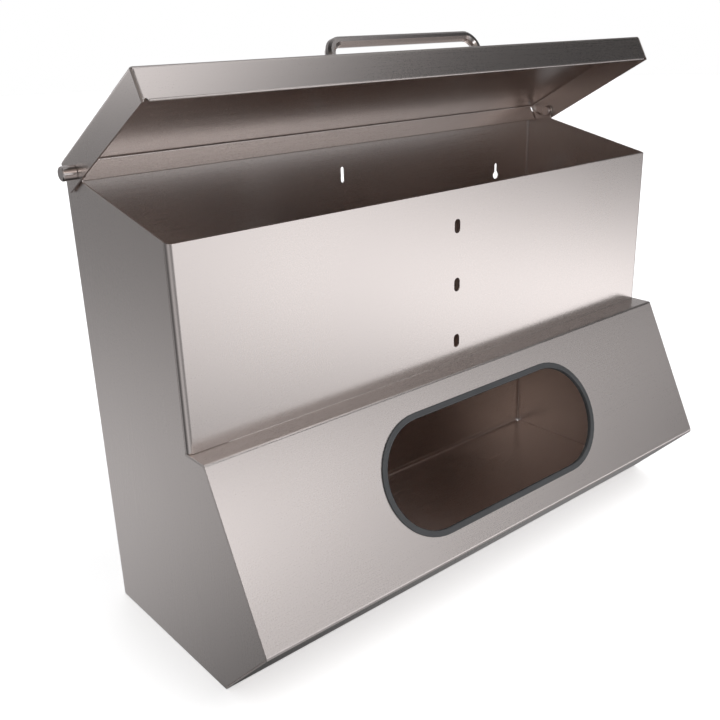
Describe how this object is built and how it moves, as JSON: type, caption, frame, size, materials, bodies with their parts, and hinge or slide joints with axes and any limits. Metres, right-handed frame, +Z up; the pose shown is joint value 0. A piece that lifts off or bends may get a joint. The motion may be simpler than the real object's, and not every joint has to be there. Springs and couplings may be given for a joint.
{
  "type": "protective equipment dispenser",
  "caption": "Wall-hung stainless steel dispenser with a hinged lid and bar handle, a slanted hopper front and a wide rubber-edged stadium opening.",
  "frame": {"origin": "middle of the flat underside, at floor height", "axes": "+X along the width to the right seen from the front, the front faces -Y, +Z up"},
  "size_m": [0.6408, 0.2633, 0.5248],
  "materials": {
    "stainless_sheet": "satin, finely brushed",
    "stainless_bright": "polished",
    "rubber_trim": "matt, dark grey",
    "nylon": "natural, off-white"
  },
  "bodies": {
    "cabinet": {"side_panel_left": "stainless_sheet", "side_panel_right": "stainless_sheet", "front_panel": "stainless_sheet", "hopper_panel": "stainless_sheet", "back_panel": "stainless_sheet", "floor_panel": "stainless_sheet", "opening_trim": "rubber_trim", "pivot_pin_left": "stainless_bright", "pivot_pin_right": "stainless_bright", "pivot_cap_left": "stainless_bright", "pivot_cap_right": "stainless_bright", "pivot_washer_left": "nylon", "pivot_washer_right": "nylon"},
    "lid": {"lid": "stainless_sheet", "handle": "stainless_bright", "handle_screw_left": "stainless_bright", "handle_screw_right": "stainless_bright", "handle_washer_left": "stainless_bright", "handle_washer_right": "stainless_bright"}
  },
  "joints": [
    {"name": "lid_hinge", "type": "hinge", "parent": "cabinet", "child": "lid", "pos_m": [0, 0.06625, 0.427], "axis": [-1, 0, 0], "range_deg": [-40.5, 8]}
  ]
}
